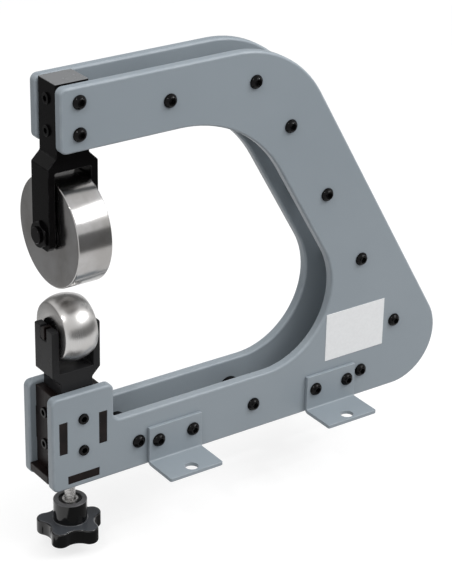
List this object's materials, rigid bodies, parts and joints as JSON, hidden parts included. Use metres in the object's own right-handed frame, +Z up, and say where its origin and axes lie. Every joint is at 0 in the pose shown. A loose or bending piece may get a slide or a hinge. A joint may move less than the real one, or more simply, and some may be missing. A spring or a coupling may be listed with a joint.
{
  "type": "english wheel",
  "caption": "Bench-top english wheel: twin-plate C frame with a flat upper wheel in a fork and a crowned anvil wheel in a yoke, raised by a star knob and screw.",
  "frame": {"origin": "centre of the four bench holes in the feet, on the bench plane under the feet", "axes": "+X from the mouth to the back of the throat, +Y across the side plates away from the label, +Z up"},
  "size_m": [0.3499, 0.104, 0.3555],
  "materials": {
    "powder_coat": "satin",
    "black_oxide": "satin black oxide",
    "black_paint": "satin",
    "dark_steel": "burnished black",
    "wheel_steel": "ground",
    "polished_steel": "polished",
    "bearing_steel": "polished",
    "cage_brass": "pressed",
    "seal_rubber": "matt",
    "plain_steel": "turned",
    "black_plastic": "moulded gloss",
    "label_white": "blank film"
  },
  "bodies": {
    "frame": {"near_side_plate": "powder_coat", "far_side_plate": "powder_coat", "plate_spacers": "black_oxide", "frame_screws": "black_oxide", "upper_fork": "black_paint", "fork_screws": "black_oxide", "fork_set_screws": "black_oxide", "upper_axle_bolt": "black_oxide", "upper_axle_nut": "black_oxide", "upper_shims": "black_oxide", "upper_ring_spacer": "black_oxide", "upper_inner_rings": "bearing_steel", "front_guide_bar": "dark_steel", "rear_guide_bar": "dark_steel", "tapped_plate": "dark_steel", "side_set_screws": "black_oxide", "front_set_screws": "black_oxide", "near_front_foot": "powder_coat", "near_rear_foot": "powder_coat", "far_front_foot": "powder_coat", "far_rear_foot": "powder_coat", "foot_screws": "black_oxide", "blank_label": "label_white"},
    "upper_wheel": {"upper_wheel": "wheel_steel", "upper_outer_rings": "bearing_steel", "upper_balls": "bearing_steel", "upper_cages": "cage_brass", "upper_seals": "seal_rubber"},
    "post": {"lower_yoke": "black_paint", "anvil_axle": "dark_steel", "anvil_shims": "black_oxide", "anvil_ring_spacer": "black_oxide", "anvil_inner_rings": "bearing_steel"},
    "anvil_wheel": {"anvil_wheel": "polished_steel", "anvil_outer_rings": "bearing_steel", "anvil_balls": "bearing_steel", "anvil_cages": "cage_brass", "anvil_seals": "seal_rubber"},
    "adjuster": {"adjusting_screw": "plain_steel", "knob_insert": "plain_steel", "star_knob": "black_plastic"}
  },
  "joints": [
    {"name": "upper_wheel_spin", "type": "hinge", "parent": "frame", "child": "upper_wheel", "pos_m": [-0.14874, 0, 0.1949], "axis": [1, 0, 0], "continuous": true},
    {"name": "post_lift", "type": "slide", "parent": "frame", "child": "post", "axis": [0, 0, 1], "range_m": [-0.0075, 0.011]},
    {"name": "anvil_wheel_spin", "type": "hinge", "parent": "post", "child": "anvil_wheel", "pos_m": [-0.14874, 0, 0.119], "axis": [1, 0, 0], "continuous": true},
    {"name": "knob_turn", "type": "hinge", "parent": "post", "child": "adjuster", "pos_m": [-0.14874, 0, 0], "axis": [0, 0, 1], "range_deg": [-2160, 3168]}
  ],
  "couplings": [
    {"joint": "post_lift", "follows": "knob_turn", "m_per_rad": 0.00019894}
  ]
}
